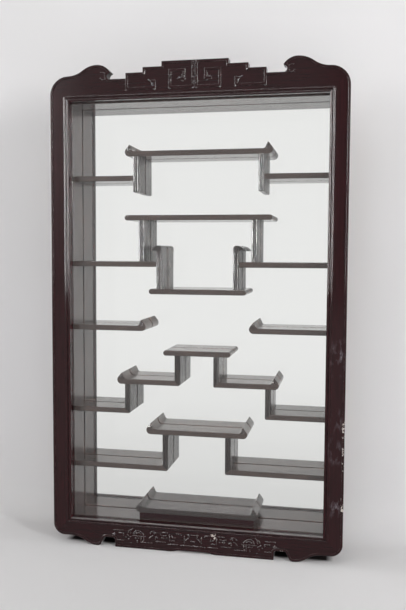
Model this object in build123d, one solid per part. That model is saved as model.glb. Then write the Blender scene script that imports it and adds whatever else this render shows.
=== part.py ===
from build123d import *
import os

# Wall display cabinet with a carved glazed door, a mirror back and stepped shelves.
# Millimetres, +Z up, +Y away from the viewer. The origin is on the ground, in the middle of the
# width and of the depth. Heights named ..._TOP are measured from the floor of the case.

os.makedirs("parts", exist_ok=True)

# ---- driving dimensions ------------------------------------------------------------------
# door frame: sight opening, members and carved work
SIGHT_WIDTH = 528.0
SIGHT_HEIGHT = 870.0
STILE_WIDTH = 39.0
DOOR_THICK = 22.0          # over the raised carving
RELIEF = 2.0               # height of the raised carving over the flat of the frame
BORDER_WIDTH = 4.5         # raised border along the whole outline, and each fret line
BORDER_ROUND = 1.2
BEAD_WIDTH = 4.6           # each of the two round beads beside the opening
BEAD_QUIRK = 1.2           # sunk line beside each bead
GLASS_THICK = 3.0
GLASS_REBATE = 8.0         # how far the glass runs under the frame
GLASS_FROM_FRONT = 12.0
GLASS_EDGE_GAP = 1.0
GLAZING_BEAD_ROUND = 2.5
BEAD_FIT = 0.2             # play of a glazing bead in its rebate
DOOR_TENON_THICK = 5.0
DOOR_TENON_LENGTH = 28.0
DOOR_TENON_HEIGHT = 16.0
DOOR_TENON_FROM_SIGHT = 3.0
DOOR_TENON_FROM_FRONT = 4.5
TENON_END_GAP = 0.3

# crest: heights are measured from the top of the opening; ..._IN from the outer edge of the
# frame, ..._OUT from the middle
CREST_CORNER_START = 12.0  # where the stile's edge turns into the corner
CREST_CORNER_RADIUS = 38.0
WAVE_PEAK_IN = 101.0
WAVE_PEAK_UP = 70.5
HOOK_TIP_IN = 129.2
HOOK_TIP_UP = 54.4
HOOK_TIP_ROUND = 1.5
HOOK_THROAT_IN = 121.7
HOOK_THROAT_UP = 47.8
HOOK_FOOT_IN = 127.5
LEDGE_UP = 41.0
STEP_OUT = (142.0, 106.5, 67.5)
STEP_RISE = (11.0, 10.0, 10.0)
FRET_FOOT_UP = 18.5        # underside of the lowest fret line
SIDE_FRET_OUT = 80.0
SIDE_FRET_END_UP = 36.0
SIDE_FRET_CURL = 10.0
SPIRAL_START_OUT = 1.0
SPIRAL_OUT = 52.5
SPIRAL_TOP_UP = 55.5
SPIRAL_INNER_OUT = 19.5
SPIRAL_END_UP = 33.5
SPIRAL_CURL = 14.5

# apron: depths are measured down from the bottom of the opening
APRON_DROP = 55.0          # to the ground
APRON_CORNER_RADIUS = 24.0
APRON_EDGE_DROP = 37.5
APRON_SWEEP_IN = 42.0      # these five as for the crest
LOBE_IN = 97.0
LOBE_END_IN = 107.0
NOTCH_START_IN = 112.5
NOTCH_END_IN = 136.0
LOBE_END_DROP = 47.5
NOTCH_TOP_DROP = 35.5
NOTCH_ROUND = 4.0
BLOCK_CORNER_ROUND = 2.5
BLOCK_ARCH_OUT = 50.0
BLOCK_ARCH_LEVEL_OUT = 26.0
BLOCK_ARCH_RISE = 3.5

# case
CASE_THICK = 18.0          # sides and floor
CASE_TOP_THICK = 26.0
DOOR_GAP = 1.0             # closed door to case
CEILING_DROP = 2.5         # ceiling below the top of the opening
SHELF_SETBACK = 7.0        # shelf fronts behind the front edge of the case
SHELF_DEPTH = 51.0
MIRROR_THICK = 3.0
MIRROR_REBATE = 5.0
BACK_THICK = 5.0
BACK_REBATE = 13.0
PANEL_EDGE_GAP = 0.5       # mirror and back panel in their rebates
HOUSING = 4.0              # how far a shelf is let into a side
CASE_TONGUE = 6.0          # tongue of top and floor in the sides, square
TONGUE_STOP = 8.0
FOOT_LENGTH = 21.0         # foot of a side on the ground, from the back
FOOT_CUT_RADIUS = 34.0     # hollow in front of the foot

# shelves
BOARD_THICK = 11.0
BOARD_ROUND = 1.2
UPRIGHT_THICK = 12.0
UPRIGHT_ROUND = 3.5
UPRIGHT_GROOVE = 1.0       # round groove down the middle of each upright's front
CORNER_ROUND = 4.0         # outer corner of a mitred upright and shelf
LEG_FOOT_ROUND = 2.5
SCROLL_RISE = 16.0         # turned-up end above the board, before its tip is rounded
SCROLL_TIP_ROUND = 1.5
SCROLL_THROAT_ROUND = 3.0
SCROLL_THROAT = 18.0       # these four: distances from the very end of the board
SCROLL_TIP = 11.0
SCROLL_BELLY = 9.0
SCROLL_SHOULDER = 2.0
SCROLL_SHOULDER_RISE = 4.0
SCROLL_HOLLOW = 1.6        # how far the hollow side bends in behind the tip
STUB_LENGTH = 5.0          # stub tenons of the uprights and shelves
STUB_THICK = 5.0
STUB_SIDE_STOP = 6.0       # from front and back edges to the tenon

# upper bench: legs hang past the shelves on both sides
UPPER_BENCH_TOP = 771.0
UPPER_BENCH_HALF = 153.0
UPPER_LEG_OUT = 130.0      # middle of each leg
UPPER_LEG_FOOT = 686.5
UPPER_SHELF_TOP = 721.0

# table: legs stand on the shelves that carry the hanging tray
TABLE_TOP = 640.0
TABLE_HALF = 154.0
TABLE_LEG_OUT = 118.0
TABLE_SHELF_TOP = 544.0
TRAY_TOP = 487.5
TRAY_HALF = 102.0
HANGER_OUT = 80.4
HANGER_TOP = 577.5
HANGER_LIP_OUT = 11.5      # curled head beyond the outer face
HANGER_LIP_DROP = 11.0
HANGER_HEAD_RADIUS = 6.5
HANGER_HEAD_THICK = 9.0
HANGER_LIP_UNDER = 2.0     # hollow of the curl's underside

# wing shelves, left and right, free at their inner ends
WING_TOP = 410.0
WING_IN = 108.5

# pyramid of steps
PYRAMID_TOP = 360.0
PYRAMID_HALF = 71.0
PYRAMID_UPPER_LEG_OUT = 41.0
PYRAMID_MIDDLE_TOP = 297.0
PYRAMID_MIDDLE_END = 170.5
PYRAMID_LOWER_LEG_OUT = 148.4
PYRAMID_LOW_TOP = 235.0

# lower bench
LOWER_BENCH_TOP = 192.5
LOWER_BENCH_HALF = 107.0
LOWER_LEG_OUT = 66.6
LOWER_SHELF_TOP = 115.5

# stand on the floor of the case
STAND_TOP = 22.5
STAND_HALF = 130.0
STAND_BASE_HALF = 122.0
STAND_END_THICK = 8.0
STAND_FRONT_THICK = 10.0
STAND_BASE_SETBACK = 1.5

# hinges, screws, catch and hangers
LEAF_THICK = 1.5
LEAF_LENGTH = 60.0
LEAF_WIDTH = 16.0
BARREL_RADIUS = 3.0
PIN_RADIUS = 1.5
PIN_CLEARANCE = 0.05
PIN_HEAD_RADIUS = 2.4
PIN_HEAD = 1.2
KNUCKLES = 5
KNUCKLE_GAP = 0.2
HINGE_CLEARANCE = 0.3      # barrel to the case and to the door
HINGE_FROM_SIGHT = 110.0   # middle of a hinge from the top or bottom of the opening
SCREW_HEAD_RADIUS = 2.75
SCREW_HEAD = 1.4
SCREW_RADIUS = 1.4
SCREW_LENGTH = 13.0
LEAF_SCREW_PITCH = 20.0
BACK_SCREW_COUNT = 5       # along each side
BACK_SCREW_END = 30.0
BACK_SCREW_EDGE = 4.0
BACK_SCREW_ACROSS = 110.0  # top and bottom ones, from the middle
CATCH_RADIUS = 3.5
CATCH_LENGTH = 7.0
CATCH_FROM_EDGE = 4.5
CATCH_GAP = 0.3
STRIKE_RADIUS = 4.0
STRIKE_THICK = 1.0
HANGER_PLATE_OUT = 200.0
HANGER_PLATE_THICK = 2.0
HANGER_PLATE_WIDTH = 44.0
HANGER_PLATE_HEIGHT = 12.0
HANGER_EAR_RADIUS = 9.0
HANGER_EAR_UP = 12.0       # hole above the top of the case
HANGER_HOLE_RADIUS = 2.75
HANGER_SCREW_PITCH = 30.0

# ---- places worked out from them -----------------------------------------------------------
FLOOR = APRON_DROP
SIGHT_TOP = FLOOR + SIGHT_HEIGHT
CEILING = SIGHT_TOP - CEILING_DROP
HALF_SIGHT = SIGHT_WIDTH / 2
HALF_FRAME = HALF_SIGHT + STILE_WIDTH
HALF_CASE = HALF_SIGHT + CASE_THICK
CASE_TOP = CEILING + CASE_TOP_THICK

DEPTH = DOOR_THICK + DOOR_GAP + SHELF_SETBACK + SHELF_DEPTH + MIRROR_THICK + BACK_THICK
DOOR_FRONT = -DEPTH / 2
DOOR_FLAT = DOOR_FRONT + RELIEF
DOOR_BACK = DOOR_FRONT + DOOR_THICK
GLASS_FRONT = DOOR_FRONT + GLASS_FROM_FRONT
GLASS_BACK = GLASS_FRONT + GLASS_THICK
CASE_FRONT = DOOR_BACK + DOOR_GAP
SHELF_FRONT = CASE_FRONT + SHELF_SETBACK
MIRROR_FRONT = SHELF_FRONT + SHELF_DEPTH
MIRROR_BACK = MIRROR_FRONT + MIRROR_THICK
BACK = MIRROR_BACK + BACK_THICK

HINGE_X = -(HALF_CASE + HINGE_CLEARANCE + BARREL_RADIUS)
HINGE_Y = DOOR_BACK + HINGE_CLEARANCE + BARREL_RADIUS
HINGE_HEIGHTS = {"upper": SIGHT_TOP - HINGE_FROM_SIGHT, "lower": FLOOR + HINGE_FROM_SIGHT}


# ---- shared shapes ---------------------------------------------------------------------------
def slab(x0, x1, y0, y1, z0, z1):
    """Square block between two corners."""
    return Pos((x0 + x1) / 2, (y0 + y1) / 2, (z0 + z1) / 2) * Box(x1 - x0, y1 - y0, z1 - z0)


def plate(x0, x1, z0, z1):
    """Front-view rectangle."""
    return Pos((x0 + x1) / 2, (z0 + z1) / 2) * Rectangle(x1 - x0, z1 - z0)


def thicken(outline, y_front, y_back):
    """Solid with the front-view outline, from y_front to y_back."""
    return extrude(Plane.XZ.offset(-y_back) * outline, y_back - y_front)


def other_side(piece):
    """The same piece for the left."""
    return mirror(piece, about=Plane.YZ)


def rounded(outline, corners, radius):
    """Front view with the corner nearest to each of the given points rounded."""
    for corner in corners:
        nearest = outline.vertices().sort_by_distance((*corner, 0))[0]
        outline = fillet(nearest, radius)
    return outline


def rod(radius, x, y, z0, z1):
    """Upright round rod."""
    return Pos(x, y, (z0 + z1) / 2) * Cylinder(radius, z1 - z0)


def front_edges(piece):
    """Edges round the front face."""
    return piece.faces().sort_by(Axis.Y)[0].outer_wire().edges()


def write(name, piece):
    """Keep one named piece."""
    export_step(piece, "parts/" + name + ".step")


def write_pair(name, right_piece):
    """Keep a piece and its mirror image; name holds SIDE where left or right goes."""
    write(name.replace("SIDE", "right"), right_piece)
    write(name.replace("SIDE", "left"), other_side(right_piece))


# ---- door frame outline ------------------------------------------------------------------------
def swept_step(out0, up0, out1, up1):
    """S-curve between two level tangents, made of two equal arcs."""
    middle = ((out0 + out1) / 2, (up0 + up1) / 2)
    first = TangentArc((out0, up0), middle, tangent=(out1 - out0, 0))
    second = TangentArc(middle, (out1, up1), tangent=first % 1)
    return [first, second]


def hook_tip():
    """Point of the right hook of the crest, before it is rounded."""
    return HALF_FRAME - HOOK_TIP_IN, SIGHT_TOP + HOOK_TIP_UP


def notch_corners():
    """The two upper corners of the right notch of the apron and the lower corner of its block."""
    top = FLOOR - NOTCH_TOP_DROP
    block = HALF_FRAME - NOTCH_END_IN
    return [(HALF_FRAME - NOTCH_START_IN, top), (block, top), (block, FLOOR - APRON_DROP)]


def crest_edge():
    """Right half of the crest from the stile's edge to the middle, as joined curves."""
    top = SIGHT_TOP
    corner_end = HALF_FRAME - CREST_CORNER_RADIUS
    corner_up = top + CREST_CORNER_START + CREST_CORNER_RADIUS
    peak = (HALF_FRAME - WAVE_PEAK_IN, top + WAVE_PEAK_UP)
    throat = (HALF_FRAME - HOOK_THROAT_IN, top + HOOK_THROAT_UP)
    out = HALF_FRAME - HOOK_FOOT_IN
    up = top + LEDGE_UP
    curves = [TangentArc((HALF_FRAME, top + CREST_CORNER_START), (corner_end, corner_up), tangent=(0, 1))]
    curves += swept_step(corner_end, corner_up, *peak)
    curves += [TangentArc(peak, hook_tip(), tangent=(-1, 0))]
    foot = TangentArc((out, up), throat, tangent=(1, 0))
    curves += [TangentArc(throat, hook_tip(), tangent=foot % 1), foot]
    for step_out, rise in zip(STEP_OUT, STEP_RISE):
        curves += [Line((out, up), (step_out, up)), Line((step_out, up), (step_out, up + rise))]
        out = step_out
        up += rise
    return curves + [Line((out, up), (0, up))]


def apron_edge():
    """Right half of the apron from the stile's edge to the middle, as joined curves."""
    edge = FLOOR - APRON_EDGE_DROP
    ground = FLOOR - APRON_DROP
    corner_out = HALF_FRAME - APRON_CORNER_RADIUS
    sweep_start = (HALF_FRAME - APRON_SWEEP_IN, edge)
    lobe = (HALF_FRAME - LOBE_IN, ground)
    lobe_end = (HALF_FRAME - LOBE_END_IN, FLOOR - LOBE_END_DROP)
    arch_start = (BLOCK_ARCH_OUT, ground)
    arch_end = (BLOCK_ARCH_LEVEL_OUT, ground + BLOCK_ARCH_RISE)
    curves = [TangentArc((HALF_FRAME, edge + APRON_CORNER_RADIUS), (corner_out, edge), tangent=(0, -1))]
    curves += [Line((corner_out, edge), sweep_start)]
    curves += swept_step(*sweep_start, *lobe)
    curves += [TangentArc(lobe, lobe_end, tangent=(-1, 0))]
    curves += [Polyline(lobe_end, *notch_corners(), arch_start)]
    curves += swept_step(*arch_start, *arch_end)
    return curves + [Line(arch_end, (0, ground + BLOCK_ARCH_RISE))]


def frame_outline():
    """Front view of the whole door, without its opening."""
    stile_edge = Line((HALF_FRAME, SIGHT_TOP + CREST_CORNER_START),
                      (HALF_FRAME, FLOOR - APRON_EDGE_DROP + APRON_CORNER_RADIUS))
    middle = Line((0, FLOOR - APRON_DROP + BLOCK_ARCH_RISE), (0, SIGHT_TOP + LEDGE_UP + sum(STEP_RISE)))
    half = make_face(Curve() + crest_edge() + apron_edge() + stile_edge + middle)
    half = rounded(half, [hook_tip()], HOOK_TIP_ROUND)
    half = rounded(half, notch_corners()[:2], NOTCH_ROUND)
    half = rounded(half, notch_corners()[2:], BLOCK_CORNER_ROUND)
    return half + mirror(half, about=Plane.YZ)


def beside_opening(grow):
    """Front view of the opening, made larger all round."""
    return plate(-HALF_SIGHT - grow, HALF_SIGHT + grow, FLOOR - grow, SIGHT_TOP + grow)


def fret(path):
    """Front view of one raised fret line through points given as (out, up)."""
    half = BORDER_WIDTH / 2
    lines = [plate(min(a[0], b[0]) - half, max(a[0], b[0]) + half,
                   SIGHT_TOP + min(a[1], b[1]) - half, SIGHT_TOP + max(a[1], b[1]) + half)
             for a, b in zip(path, path[1:])]
    return lines[0] + lines[1:]


def crest_frets():
    """Front view of the four frets of the crest."""
    half = BORDER_WIDTH / 2
    foot = FRET_FOOT_UP + half
    start, outer, inner = SPIRAL_START_OUT + half, SPIRAL_OUT - half, SPIRAL_INNER_OUT + half
    top, end = SPIRAL_TOP_UP - half, SPIRAL_END_UP + half
    crest_top = LEDGE_UP + sum(STEP_RISE) - half
    spiral = fret([(start, crest_top), (start, foot), (outer, foot), (outer, top),
                   (inner, top), (inner, end), (inner + SPIRAL_CURL - BORDER_WIDTH, end)])
    side, side_in, side_end = STEP_OUT[0] - half, SIDE_FRET_OUT + half, SIDE_FRET_END_UP - half
    hook = fret([(side, LEDGE_UP + STEP_RISE[0] - half), (side, foot), (side_in, foot),
                 (side_in, side_end), (side_in + SIDE_FRET_CURL - BORDER_WIDTH, side_end)])
    right = spiral + hook
    return right + mirror(right, about=Plane.YZ)


# ---- door --------------------------------------------------------------------------------------
def round_beads(across, y_middle, low, high, upright):
    """The pair of round beads beside the opening, along one stile or rail."""
    radius = BEAD_WIDTH / 2
    middles = [across + radius, across + BEAD_WIDTH + BEAD_QUIRK + radius]
    if upright:
        rods = [rod(radius, middle, y_middle, low, high) for middle in middles]
    else:
        turn = Rot(0, 90, 0)
        rods = [Pos((low + high) / 2, y_middle, middle) * turn * Cylinder(radius, high - low)
                for middle in middles]
    return rods


def door_frame():
    """Whole door frame in one, flat around the opening where the beads go."""
    outline = frame_outline()
    bead_zone = beside_opening(2 * BEAD_WIDTH + BEAD_QUIRK)
    left_half = plate(-HALF_FRAME, 0, 0, SIGHT_TOP + WAVE_PEAK_UP + CREST_CORNER_RADIUS)
    left_ground = offset(outline, -BORDER_WIDTH, kind=Kind.INTERSECTION) & left_half
    ground = left_ground + mirror(left_ground, about=Plane.YZ) - bead_zone - crest_frets()
    frame = thicken(outline, DOOR_FRONT, DOOR_BACK) - thicken(ground, DOOR_FRONT, DOOR_FLAT)
    border = max(frame.faces().group_by(Axis.Y)[0], key=lambda face: face.bounding_box().diagonal)
    rim = max(border.wires(), key=lambda wire: wire.bounding_box().diagonal)
    frame = fillet(rim.edges(), BORDER_ROUND)
    frame -= thicken(beside_opening(0), DOOR_FRONT, DOOR_BACK)
    frame -= thicken(bead_zone, DOOR_FRONT, DOOR_FRONT + BEAD_WIDTH / 2)
    return frame - thicken(beside_opening(GLASS_REBATE), GLASS_FRONT, DOOR_BACK)


def mitre_fan(upper):
    """Front view of the region of the upper or lower rail, between its two mitres."""
    level, out = (SIGHT_TOP, 1) if upper else (FLOOR, -1)
    reach = STILE_WIDTH + CREST_CORNER_RADIUS
    far = level + out * (reach + WAVE_PEAK_UP)
    corners = [(-HALF_SIGHT, level), (-HALF_SIGHT - reach, level + out * reach),
               (-HALF_SIGHT - reach, far), (HALF_SIGHT + reach, far),
               (HALF_SIGHT + reach, level + out * reach), (HALF_SIGHT, level)]
    return make_face(Polyline(*corners, close=True))


def door_tenon(upper, end_gap):
    """Hidden tenon at the right end of a rail."""
    edge = SIGHT_TOP if upper else FLOOR
    out = 1 if upper else -1
    z0 = edge + out * DOOR_TENON_FROM_SIGHT
    z1 = z0 + out * DOOR_TENON_HEIGHT
    y0 = DOOR_FRONT + DOOR_TENON_FROM_FRONT
    return slab(HALF_SIGHT, HALF_SIGHT + DOOR_TENON_LENGTH + end_gap, y0, y0 + DOOR_TENON_THICK,
                min(z0, z1), max(z0, z1))


def door_rail(frame, upper):
    """Top rail with the crest, or bottom rail with the apron."""
    level = SIGHT_TOP if upper else FLOOR - 2 * BEAD_WIDTH - BEAD_QUIRK
    region = thicken(mitre_fan(upper), DOOR_FRONT, DOOR_BACK)
    beads = round_beads(level, DOOR_FRONT + BEAD_WIDTH / 2, -HALF_FRAME, HALF_FRAME, False)
    tenon = door_tenon(upper, 0)
    return ((frame + beads) & region) + tenon + other_side(tenon)


def door_stile(frame):
    """Right stile."""
    reach = STILE_WIDTH + CREST_CORNER_RADIUS
    region = slab(HALF_SIGHT, HALF_FRAME, DOOR_FRONT, DOOR_BACK, FLOOR - reach, SIGHT_TOP + reach)
    beads = round_beads(HALF_SIGHT, DOOR_FRONT + BEAD_WIDTH / 2, FLOOR - reach, SIGHT_TOP + reach, True)
    stile = (frame + beads) & region
    for upper in (True, False):
        stile -= thicken(mitre_fan(upper), DOOR_FRONT, DOOR_BACK)
        stile -= door_tenon(upper, TENON_END_GAP)
    return stile


def door_glass():
    """Pane in the rebate of the door."""
    play = GLASS_REBATE - GLASS_EDGE_GAP
    return thicken(beside_opening(play), GLASS_FRONT, GLASS_BACK)


def glazing_bead(upright):
    """Bead behind the glass, right or upper one, with a rounded inner edge and mitred ends."""
    outer = GLASS_REBATE - BEAD_FIT
    low, high = (FLOOR, SIGHT_TOP) if upright else (-HALF_SIGHT, HALF_SIGHT)
    edge = HALF_SIGHT if upright else SIGHT_TOP
    corners = [(edge, low), (edge + outer, low - outer), (edge + outer, high + outer), (edge, high)]
    if not upright:
        corners = [(b, a) for a, b in corners]
    bead = thicken(make_face(Polyline(*corners, close=True)), GLASS_BACK, DOOR_BACK - BEAD_FIT)
    inner = Axis.X if upright else Axis.Z
    back_edges = bead.edges().group_by(Axis.Y)[-1]
    return fillet(back_edges.group_by(inner)[0], GLAZING_BEAD_ROUND)


# ---- hinges, screws and catch ------------------------------------------------------------------
def knuckle_spans(middle):
    """Heights of the knuckles of a hinge, from the lowest."""
    step = LEAF_LENGTH / KNUCKLES
    low = middle - LEAF_LENGTH / 2
    return [(low + i * step + KNUCKLE_GAP / 2, low + (i + 1) * step - KNUCKLE_GAP / 2)
            for i in range(KNUCKLES)]


def leaf_screw_heights(middle):
    """Heights of the three screws of one leaf."""
    return [middle - LEAF_SCREW_PITCH, middle, middle + LEAF_SCREW_PITCH]


def countersunk_screw(clearance):
    """Screw pointing along +Y with its head flush at Y = 0."""
    head = Pos(0, SCREW_HEAD / 2, 0) * Rot(90, 0, 0) * Cone(SCREW_RADIUS + clearance,
                                                            SCREW_HEAD_RADIUS + clearance, SCREW_HEAD)
    shank = Pos(0, SCREW_LENGTH / 2, 0) * Rot(90, 0, 0) * Cylinder(SCREW_RADIUS + clearance, SCREW_LENGTH)
    return head + shank


def screws_at(places, turn, clearance=0.0):
    """Screws at places, turned from +Y by turn degrees about the vertical."""
    return [Pos(*place) * Rot(0, 0, turn) * countersunk_screw(clearance) for place in places]


def door_leaf_screws(middle):
    """Places of the screws through a door leaf."""
    x = HINGE_X - (HINGE_CLEARANCE + BARREL_RADIUS + LEAF_WIDTH) / 2
    return [(x, DOOR_BACK + LEAF_THICK, z) for z in leaf_screw_heights(middle)]


def case_leaf_screws(middle):
    """Places of the screws through a case leaf."""
    y = HINGE_Y + (HINGE_CLEARANCE + BARREL_RADIUS + LEAF_WIDTH) / 2
    return [(-HALF_CASE - LEAF_THICK, y, z) for z in leaf_screw_heights(middle)]


def hinge_leaf(middle, on_door):
    """One leaf with its knuckles, bored for the pin."""
    near = HINGE_CLEARANCE + BARREL_RADIUS
    low, high = middle - LEAF_LENGTH / 2, middle + LEAF_LENGTH / 2
    spans = knuckle_spans(middle)[1::2] if on_door else knuckle_spans(middle)[0::2]
    if on_door:
        leaf = slab(HINGE_X - LEAF_WIDTH, HINGE_X - near, DOOR_BACK, DOOR_BACK + LEAF_THICK, low, high)
        arms = [slab(HINGE_X - near, HINGE_X, DOOR_BACK, DOOR_BACK + LEAF_THICK, a, b) for a, b in spans]
        screws = screws_at(door_leaf_screws(middle), 180)
    else:
        side = -HALF_CASE - LEAF_THICK
        leaf = slab(side, -HALF_CASE, HINGE_Y + near, HINGE_Y + LEAF_WIDTH, low, high)
        arms = [slab(side, -HALF_CASE, HINGE_Y, HINGE_Y + near, a, b) for a, b in spans]
        screws = screws_at(case_leaf_screws(middle), -90)
    leaf = leaf + arms + [rod(BARREL_RADIUS, HINGE_X, HINGE_Y, a, b) for a, b in spans]
    leaf -= rod(PIN_RADIUS + PIN_CLEARANCE, HINGE_X, HINGE_Y, low - 1, high + 1)
    return leaf - screws


def hinge_pin(middle):
    """Pin with a head at each end, clear of the barrel."""
    low, high = middle - LEAF_LENGTH / 2, middle + LEAF_LENGTH / 2
    pin = rod(PIN_RADIUS, HINGE_X, HINGE_Y, low - PIN_HEAD, high + PIN_HEAD)
    heads = [rod(PIN_HEAD_RADIUS, HINGE_X, HINGE_Y, low - PIN_HEAD, low),
             rod(PIN_HEAD_RADIUS, HINGE_X, HINGE_Y, high, high + PIN_HEAD)]
    return pin + heads


def catch_disc(radius, y_front, y_back):
    """Round piece of the catch, in the right side of the case or in the door."""
    x = HALF_CASE - CATCH_FROM_EDGE
    return Pos(x, (y_front + y_back) / 2, (FLOOR + CEILING) / 2) * Rot(90, 0, 0) * Cylinder(
        radius, y_back - y_front)


def catch_magnet():
    """Magnet that stands a little out of the case."""
    front = CASE_FRONT - DOOR_GAP + CATCH_GAP
    return catch_disc(CATCH_RADIUS, front, front + CATCH_LENGTH)


def catch_strike():
    """Steel disc let into the back of the door."""
    return catch_disc(STRIKE_RADIUS, DOOR_BACK - STRIKE_THICK, DOOR_BACK)


# ---- case --------------------------------------------------------------------------------------
def housings():
    """Grooves in the right side for every shelf that runs into it."""
    tops = [UPPER_SHELF_TOP, TABLE_SHELF_TOP, WING_TOP, PYRAMID_LOW_TOP, LOWER_SHELF_TOP]
    return [slab(HALF_SIGHT, HALF_SIGHT + HOUSING, SHELF_FRONT, MIRROR_FRONT,
                 FLOOR + top - BOARD_THICK, FLOOR + top) for top in tops]


def back_recess(rebate, y_front, y_back):
    """Room for the mirror or the back panel behind the opening of the case."""
    return slab(-HALF_SIGHT - rebate, HALF_SIGHT + rebate, y_front, y_back,
                FLOOR - rebate, CEILING + rebate)


def case_tongue(board_low, board_thick, end_gap=0.0):
    """Tongue at the right end of the top or of the floor."""
    middle = board_low + board_thick / 2
    return slab(HALF_SIGHT, HALF_SIGHT + CASE_TONGUE + end_gap, CASE_FRONT + TONGUE_STOP,
                MIRROR_FRONT - TONGUE_STOP, middle - CASE_TONGUE / 2, middle + CASE_TONGUE / 2)


def case_side():
    """Right side with its foot, rebated behind, grooved for the shelves."""
    side = slab(HALF_SIGHT, HALF_CASE, CASE_FRONT, BACK, 0, CASE_TOP)
    hollow_y = BACK - FOOT_LENGTH - FOOT_CUT_RADIUS
    side -= slab(HALF_SIGHT, HALF_CASE, CASE_FRONT, hollow_y, 0, FOOT_CUT_RADIUS)
    side -= Pos((HALF_SIGHT + HALF_CASE) / 2, hollow_y, 0) * Rot(0, 90, 0) * Cylinder(
        FOOT_CUT_RADIUS, CASE_THICK)
    side -= back_recess(MIRROR_REBATE, MIRROR_FRONT, BACK)
    side -= back_recess(BACK_REBATE, MIRROR_BACK, BACK)
    side -= housings()
    side -= case_tongue(CEILING, CASE_TOP_THICK, TENON_END_GAP)
    side -= case_tongue(FLOOR - CASE_THICK, CASE_THICK, TENON_END_GAP)
    side -= screws_at(back_screws(), 180)
    return side


def case_board(low, thick):
    """Top or floor of the case, between the sides."""
    board = slab(-HALF_SIGHT, HALF_SIGHT, CASE_FRONT, BACK, low, low + thick)
    tongue = case_tongue(low, thick)
    board = board + tongue + other_side(tongue)
    board -= back_recess(MIRROR_REBATE, MIRROR_FRONT, BACK)
    return board - back_recess(BACK_REBATE, MIRROR_BACK, BACK) - screws_at(back_screws(), 180)


def in_recess(rebate, y_front, y_back):
    """Mirror or back panel, a little smaller than its recess."""
    return back_recess(rebate - PANEL_EDGE_GAP, y_front, y_back)


def back_screws():
    """Places of the screws round the back panel."""
    edge = BACK_REBATE - PANEL_EDGE_GAP - BACK_SCREW_EDGE
    low, high = FLOOR + BACK_SCREW_END, CEILING - BACK_SCREW_END
    step = (high - low) / (BACK_SCREW_COUNT - 1)
    upright = [(side * (HALF_SIGHT + edge), BACK, low + i * step)
               for side in (-1, 1) for i in range(BACK_SCREW_COUNT)]
    level = [(x, BACK, z) for x in (-BACK_SCREW_ACROSS, BACK_SCREW_ACROSS)
             for z in (FLOOR - edge, CEILING + edge)]
    return upright + level


def hanger_screws():
    """Places of the screws of the two hanger plates."""
    return [(side * HANGER_PLATE_OUT + x, BACK, CASE_TOP - HANGER_PLATE_HEIGHT / 2)
            for side in (-1, 1) for x in (-HANGER_SCREW_PITCH / 2, HANGER_SCREW_PITCH / 2)]


def hanger_outline(side):
    """Front view of a hanger plate: a level base and a round ear above it."""
    x = side * HANGER_PLATE_OUT
    base = plate(x - HANGER_PLATE_WIDTH / 2, x + HANGER_PLATE_WIDTH / 2,
                 CASE_TOP - HANGER_PLATE_HEIGHT, CASE_TOP)
    ear_z = CASE_TOP + HANGER_EAR_UP
    neck = plate(x - HANGER_EAR_RADIUS, x + HANGER_EAR_RADIUS, CASE_TOP - 1, ear_z)
    return base + neck + Pos(x, ear_z) * Circle(HANGER_EAR_RADIUS)


def hanger_plate(side):
    """Brass plate let into the back of the case top, with a hole in its ear for a wall screw."""
    hole = Pos(side * HANGER_PLATE_OUT, CASE_TOP + HANGER_EAR_UP) * Circle(HANGER_HOLE_RADIUS)
    return thicken(hanger_outline(side) - hole, BACK - HANGER_PLATE_THICK, BACK)


# ---- shelves -----------------------------------------------------------------------------------
def nose(end, top, side):
    """Front view of a half-round board end; side is 1 for a right end, -1 for a left end."""
    radius = BOARD_THICK / 2
    return Pos(end - side * radius, FLOOR + top - radius) * Circle(radius)


def scroll(end, top, side):
    """Front view of a turned-up board end, reaching a little into the board."""
    level = FLOOR + top
    root = -SCROLL_THROAT - 2 * BOARD_THICK
    shoulder_at = (-SCROLL_SHOULDER, level + SCROLL_SHOULDER_RISE)
    tip = (-SCROLL_TIP, level + SCROLL_RISE)
    belly = TangentArc((-SCROLL_BELLY, level - BOARD_THICK), shoulder_at, tangent=(1, 0))
    shoulder = TangentArc(shoulder_at, tip, tangent=belly % 1)
    hollow = ThreePointArc(tip, (-SCROLL_TIP - SCROLL_HOLLOW, level + SCROLL_RISE * 0.4),
                           (-SCROLL_THROAT, level))
    rest = Polyline((-SCROLL_THROAT, level), (root, level), (root, level - BOARD_THICK),
                    (-SCROLL_BELLY, level - BOARD_THICK))
    right_end = make_face(Curve() + [belly, shoulder, hollow, rest])
    right_end = rounded(right_end, [tip], SCROLL_TIP_ROUND)
    right_end = rounded(right_end, [(-SCROLL_THROAT, level)], SCROLL_THROAT_ROUND)
    return Pos(end, 0) * (right_end if side > 0 else mirror(right_end, about=Plane.YZ))


def board(x0, x1, top, ends=()):
    """Shelf board between x0 and x1, plus shaped ends, with the front edges eased."""
    outline = plate(x0, x1, FLOOR + top - BOARD_THICK, FLOOR + top) + list(ends)
    piece = thicken(outline, SHELF_FRONT, MIRROR_FRONT)
    return fillet(front_edges(piece), BOARD_ROUND)


def scrolled_board(half, top):
    """Board with a turned-up end on each side."""
    inner = half - SCROLL_THROAT
    return board(-inner, inner, top, [scroll(half, top, 1), scroll(-half, top, -1)])


def nosed_board(half, top):
    """Board with a half-round end on each side."""
    inner = half - BOARD_THICK / 2
    return board(-inner, inner, top, [nose(half, top, 1), nose(-half, top, -1)])


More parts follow.
